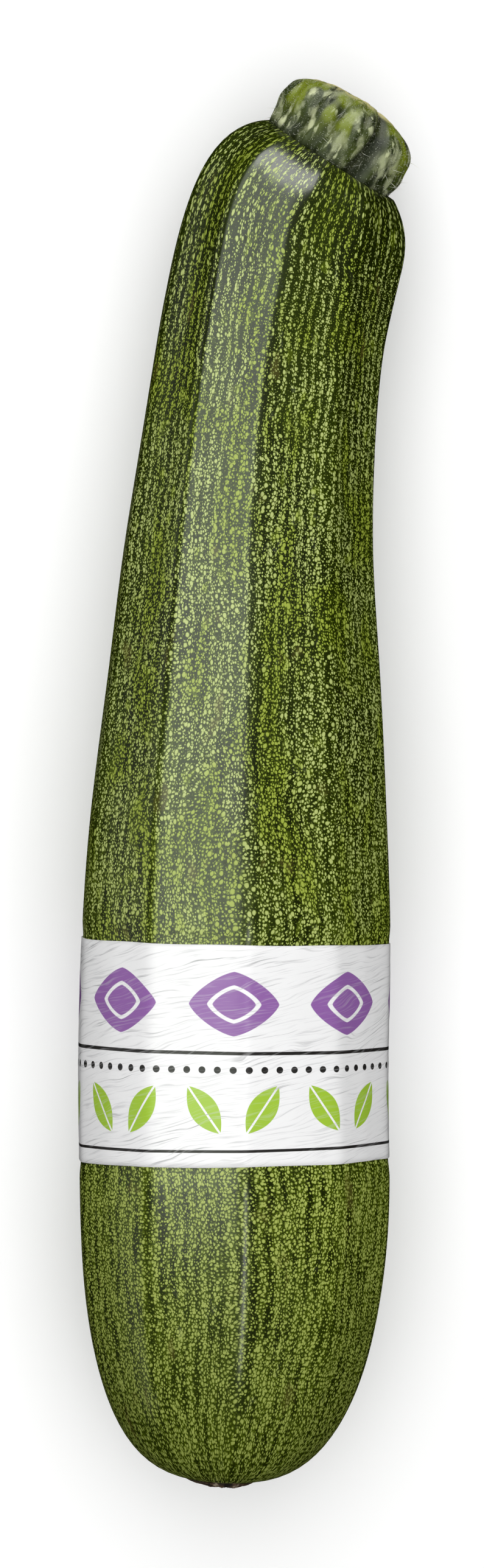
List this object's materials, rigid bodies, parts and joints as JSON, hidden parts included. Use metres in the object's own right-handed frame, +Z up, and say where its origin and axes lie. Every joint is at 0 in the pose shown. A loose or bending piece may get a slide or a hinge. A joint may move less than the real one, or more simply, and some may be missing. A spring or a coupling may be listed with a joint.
{
  "type": "courgette",
  "caption": "A ribbed green courgette lying on its side, with its five-lobed cut stalk, the dry blossom scar and a thin printed band wrapped round its belly.",
  "frame": {"origin": "Under the middle of the bounding box, on the surface that the courgette lies on", "axes": "+Z up, +Y along the fruit from the blossom end to the stalk, +X to the right seen from above with the stalk away"},
  "size_m": [0.0546, 0.2314, 0.0517],
  "materials": {
    "skin": "satin",
    "stalk": "satin",
    "dry_crust": "matte",
    "film": "satin"
  },
  "bodies": {
    "root": {"fruit": "skin", "stalk": "stalk", "blossom_scar": "dry_crust", "band": "film"}
  },
  "joints": []
}
